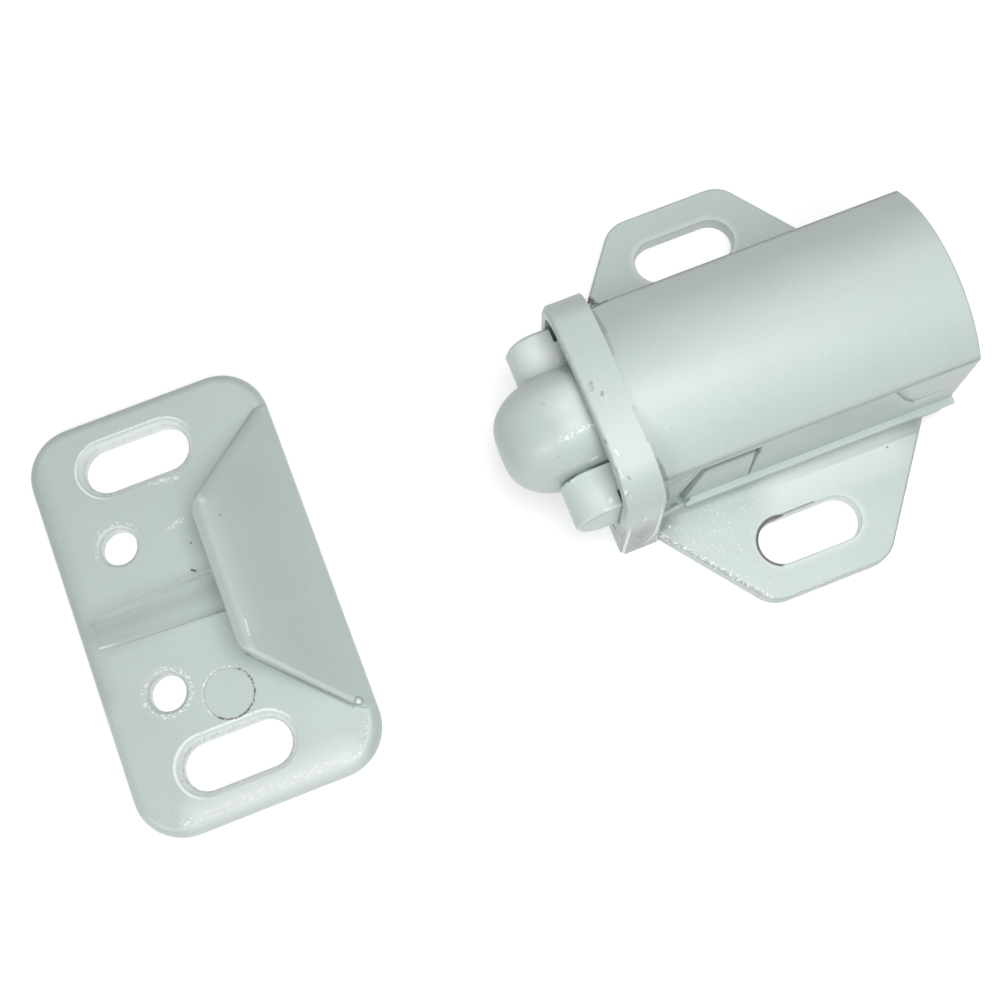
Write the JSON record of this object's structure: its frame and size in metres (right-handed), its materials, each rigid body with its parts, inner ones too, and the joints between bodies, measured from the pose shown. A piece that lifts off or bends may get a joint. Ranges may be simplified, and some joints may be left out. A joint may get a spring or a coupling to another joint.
{
  "type": "roller catch",
  "caption": "Plastic cabinet roller catch: a sprung crowned roller in a slotted flanged housing, with its ramped strike plate alongside.",
  "frame": {"origin": "on the mounting plane under the barrel's centre line, midway between the housing's two screw slots", "axes": "+X towards the closed rear end of the housing, the roller looks along -X; +Y across, along the line of the screw slots; +Z away from the mounting surface"},
  "size_m": [0.0892, 0.0434, 0.0198],
  "materials": {
    "housing_plastic": "satin",
    "plunger_plastic": "satin",
    "roller_plastic": "satin",
    "strike_plastic": "satin",
    "spring_steel": "bright drawn wire"
  },
  "bodies": {
    "catch_body": {"housing": "housing_plastic", "strike_plate": "strike_plastic", "plunger_spring": "spring_steel"},
    "plunger_body": {"plunger": "plunger_plastic"},
    "roller_body": {"roller": "roller_plastic"}
  },
  "joints": [
    {"name": "plunger_slide", "type": "slide", "parent": "catch_body", "child": "plunger_body", "axis": [1, 0, 0], "range_m": [0, 0.0034], "stiffness_N_per_m": 2130, "springref_m": -0.0023, "deforming": ["plunger_spring"]},
    {"name": "roller_spin", "type": "hinge", "parent": "plunger_body", "child": "roller_body", "pos_m": [-0.0196, 0, 0.0113], "axis": [0, 1, 0], "continuous": true}
  ]
}
